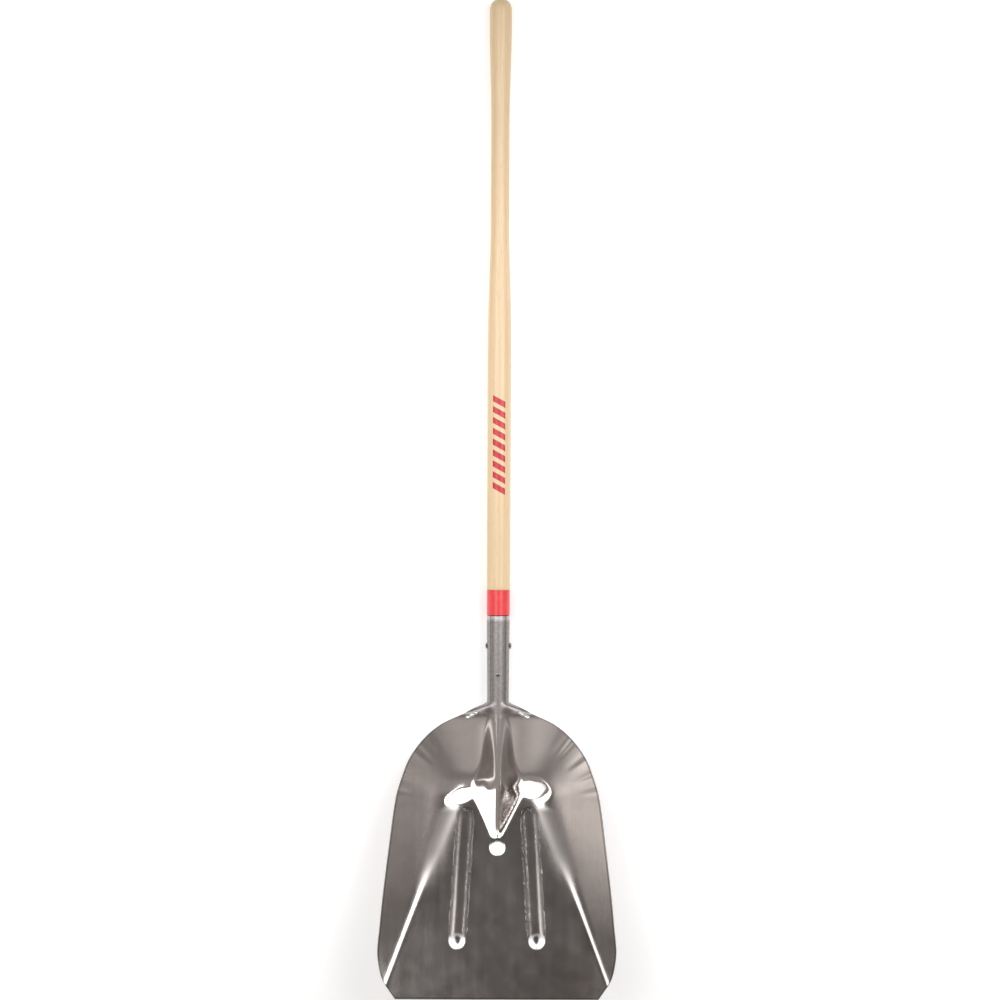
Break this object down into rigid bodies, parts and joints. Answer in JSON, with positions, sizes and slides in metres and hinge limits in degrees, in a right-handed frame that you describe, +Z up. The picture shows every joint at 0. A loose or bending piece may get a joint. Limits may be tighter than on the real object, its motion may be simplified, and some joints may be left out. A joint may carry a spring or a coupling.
{
  "type": "grain scoop shovel",
  "caption": "Long-handled grain scoop shovel: a deep pressed aluminium blade with two stiffening ribs and a centre ridge, riveted to a straight wood handle with a red band.",
  "frame": {"origin": "bottom centre of the whole shovel's box, where it lies on the ground on its back", "axes": "+Z up, out of the open bowl; +Y along the shovel from the cutting edge towards the handle's end; +X to the right seen from above with the handle pointing away"},
  "size_m": [0.3882, 1.644, 0.1805],
  "materials": {
    "blade_metal": "polished pressed sheet",
    "strap_metal": "mill finish",
    "handle_wood": "clear lacquered ash",
    "band_paint": "red shrunk sleeve",
    "rivet_metal": "bright plated",
    "weld_metal": "as welded"
  },
  "bodies": {
    "root": {"blade": "blade_metal", "back_strap": "strap_metal", "handle": "handle_wood", "color_band": "band_paint", "cross_rivet": "rivet_metal", "cross_rivet_burr": "rivet_metal", "front_pin": "rivet_metal", "shoulder_weld_left": "weld_metal", "shoulder_weld_right": "weld_metal", "flange_weld_left": "weld_metal", "flange_weld_right": "weld_metal"}
  },
  "joints": []
}
